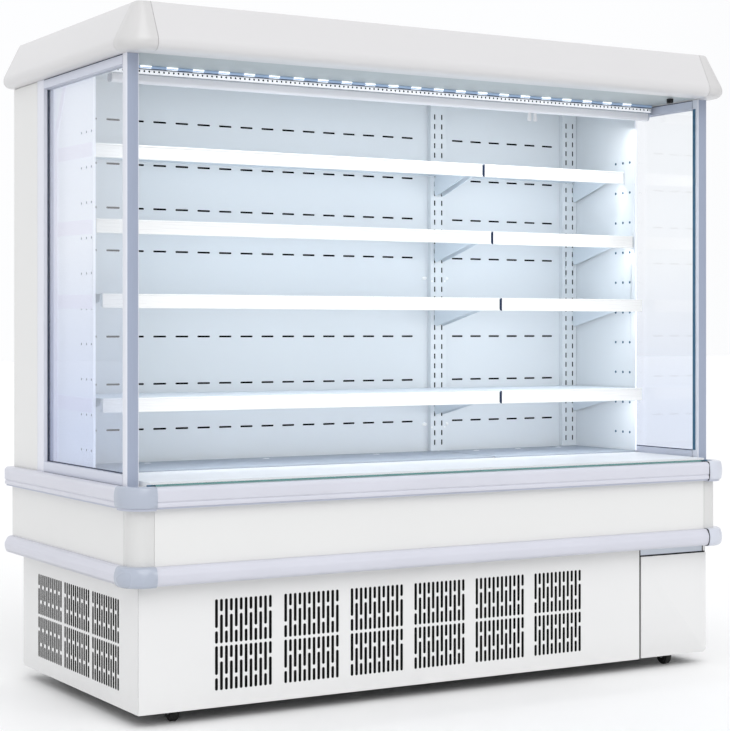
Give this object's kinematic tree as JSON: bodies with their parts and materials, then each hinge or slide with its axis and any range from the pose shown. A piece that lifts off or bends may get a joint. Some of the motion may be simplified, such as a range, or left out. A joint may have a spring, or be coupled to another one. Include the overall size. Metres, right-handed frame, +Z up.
{
  "type": "open multideck display fridge",
  "caption": "Free-standing open-fronted chiller: glazed ends, stepped shelves, night blind, moulded canopy, slotted machine base on castors.",
  "frame": {"origin": "on the floor under the centre of the overall box", "axes": "+X to the right along the length, +Y from the open front to the back, +Z up"},
  "size_m": [2.1466, 0.9898, 2.005],
  "materials": {
    "white_panel": "semi-gloss powder coat",
    "white_moulding": "gloss",
    "foam_panel": "white coated skin over foam, semi-gloss",
    "bumper_grey": "satin lilac grey",
    "frame_grey": "satin lilac grey anodised",
    "clear_glass": "clear, teal edges",
    "liner_white": "satin pale blue white",
    "shelf_white": "satin white",
    "ticket_white": "gloss white",
    "light_strip": "lit diffuser",
    "door_inner_grey": "satin grey",
    "chassis_black": "satin black",
    "galvanised": "galvanised",
    "fin_aluminium": "fin pack",
    "compressor_black": "gloss black",
    "fan_black": "moulded",
    "box_grey": "satin",
    "castor_steel": "zinc plated",
    "castor_tyre": "matt",
    "blind_fabric": "woven blind cloth",
    "blind_rail": "satin lilac white"
  },
  "bodies": {
    "cabinet": {"base_frame": "chassis_black", "machine_tray": "galvanised", "front_grille_panel": "white_panel", "left_grille_panel": "white_panel", "right_end_panel": "white_panel", "rear_cover": "white_panel", "door_frame": "door_inner_grey", "compressor": "compressor_black", "condenser_coil": "fin_aluminium", "fan_shroud": "galvanised", "drain_pan": "galvanised", "electrical_box": "box_grey", "insulated_tub": "foam_panel", "front_glass_riser": "clear_glass", "band_panels": "white_panel", "band_corner_covers": "white_moulding", "lower_bumper": "bumper_grey", "upper_bumper": "bumper_grey", "bumper_corner_caps": "bumper_grey", "rear_wall": "foam_panel", "rear_columns": "foam_panel", "canopy_front": "white_moulding", "canopy_ends": "white_moulding", "canopy_corners": "white_moulding", "roof_panel": "foam_panel", "soffit_panel": "liner_white", "glass_frame_left": "frame_grey", "glass_frame_right": "frame_grey", "side_glass": "clear_glass", "side_liners": "liner_white", "back_panels": "liner_white", "uprights": "liner_white", "shelf_1": "shelf_white", "shelf_2": "shelf_white", "shelf_3": "shelf_white", "shelf_4": "shelf_white", "price_rails": "ticket_white", "shelf_brackets": "shelf_white", "deck_pans": "shelf_white", "return_grille": "shelf_white", "ceiling_panel": "liner_white", "air_header": "liner_white", "led_strip": "light_strip", "blind_cloth": "blind_fabric", "evaporator_coil": "fin_aluminium", "evaporator_fan_plate": "galvanised"},
    "service_door": {"service_door": "white_panel"},
    "blind_bar": {"blind_bar": "blind_rail"},
    "blind_roller": {"blind_roller": "galvanised"},
    "condenser_fan": {"condenser_fan": "fan_black"},
    "evaporator_fan_left": {"evaporator_fan_left": "fan_black"},
    "evaporator_fan_right": {"evaporator_fan_right": "fan_black"},
    "castor_fork_1": {"castor_fork_1": "castor_steel"},
    "castor_wheel_1": {"castor_wheel_1": "castor_tyre"},
    "castor_fork_2": {"castor_fork_2": "castor_steel"},
    "castor_wheel_2": {"castor_wheel_2": "castor_tyre"},
    "castor_fork_3": {"castor_fork_3": "castor_steel"},
    "castor_wheel_3": {"castor_wheel_3": "castor_tyre"},
    "castor_fork_4": {"castor_fork_4": "castor_steel"},
    "castor_wheel_4": {"castor_wheel_4": "castor_tyre"}
  },
  "joints": [
    {"name": "castor_swivel_1", "type": "hinge", "parent": "cabinet", "child": "castor_fork_1", "pos_m": [-0.8855, -0.353, 0.07], "axis": [0, 0, 1], "continuous": true},
    {"name": "castor_roll_1", "type": "hinge", "parent": "castor_fork_1", "child": "castor_wheel_1", "pos_m": [-0.8855, -0.375, 0.027], "axis": [1, 0, 0], "continuous": true},
    {"name": "castor_swivel_2", "type": "hinge", "parent": "cabinet", "child": "castor_fork_2", "pos_m": [0.8855, -0.353, 0.07], "axis": [0, 0, 1], "continuous": true},
    {"name": "castor_roll_2", "type": "hinge", "parent": "castor_fork_2", "child": "castor_wheel_2", "pos_m": [0.8855, -0.375, 0.027], "axis": [1, 0, 0], "continuous": true},
    {"name": "castor_swivel_3", "type": "hinge", "parent": "cabinet", "child": "castor_fork_3", "pos_m": [-0.8855, 0.393, 0.07], "axis": [0, 0, 1], "continuous": true},
    {"name": "castor_roll_3", "type": "hinge", "parent": "castor_fork_3", "child": "castor_wheel_3", "pos_m": [-0.8855, 0.371, 0.027], "axis": [1, 0, 0], "continuous": true},
    {"name": "castor_swivel_4", "type": "hinge", "parent": "cabinet", "child": "castor_fork_4", "pos_m": [0.8855, 0.393, 0.07], "axis": [0, 0, 1], "continuous": true},
    {"name": "castor_roll_4", "type": "hinge", "parent": "castor_fork_4", "child": "castor_wheel_4", "pos_m": [0.8855, 0.371, 0.027], "axis": [1, 0, 0], "continuous": true},
    {"name": "service_door_hinge", "type": "hinge", "parent": "cabinet", "child": "service_door", "pos_m": [1.0005, -0.425, 0.2], "axis": [0, 0, 1], "range_deg": [0, 100]},
    {"name": "night_blind_slide", "type": "slide", "parent": "cabinet", "child": "blind_bar", "axis": [0, 0, -1], "range_m": [0, 1.1], "stiffness_N_per_m": 30, "springref_m": -1.5, "deforming": ["blind_cloth"]},
    {"name": "night_blind_roller", "type": "hinge", "parent": "cabinet", "child": "blind_roller", "pos_m": [0, -0.1463, 1.9095], "axis": [1, 0, 0], "continuous": true},
    {"name": "condenser_fan_spin", "type": "hinge", "parent": "cabinet", "child": "condenser_fan", "pos_m": [-0.3135, -0.245, 0.243], "axis": [0, 1, 0], "continuous": true},
    {"name": "evaporator_fan_left_spin", "type": "hinge", "parent": "cabinet", "child": "evaporator_fan_left", "pos_m": [-0.41, -0.04, 0.553], "axis": [0, 1, 0], "continuous": true},
    {"name": "evaporator_fan_right_spin", "type": "hinge", "parent": "cabinet", "child": "evaporator_fan_right", "pos_m": [0.41, -0.04, 0.553], "axis": [0, 1, 0], "continuous": true}
  ],
  "couplings": [
    {"joint": "night_blind_roller", "follows": "night_blind_slide", "rad_per_m": 48.309}
  ]
}
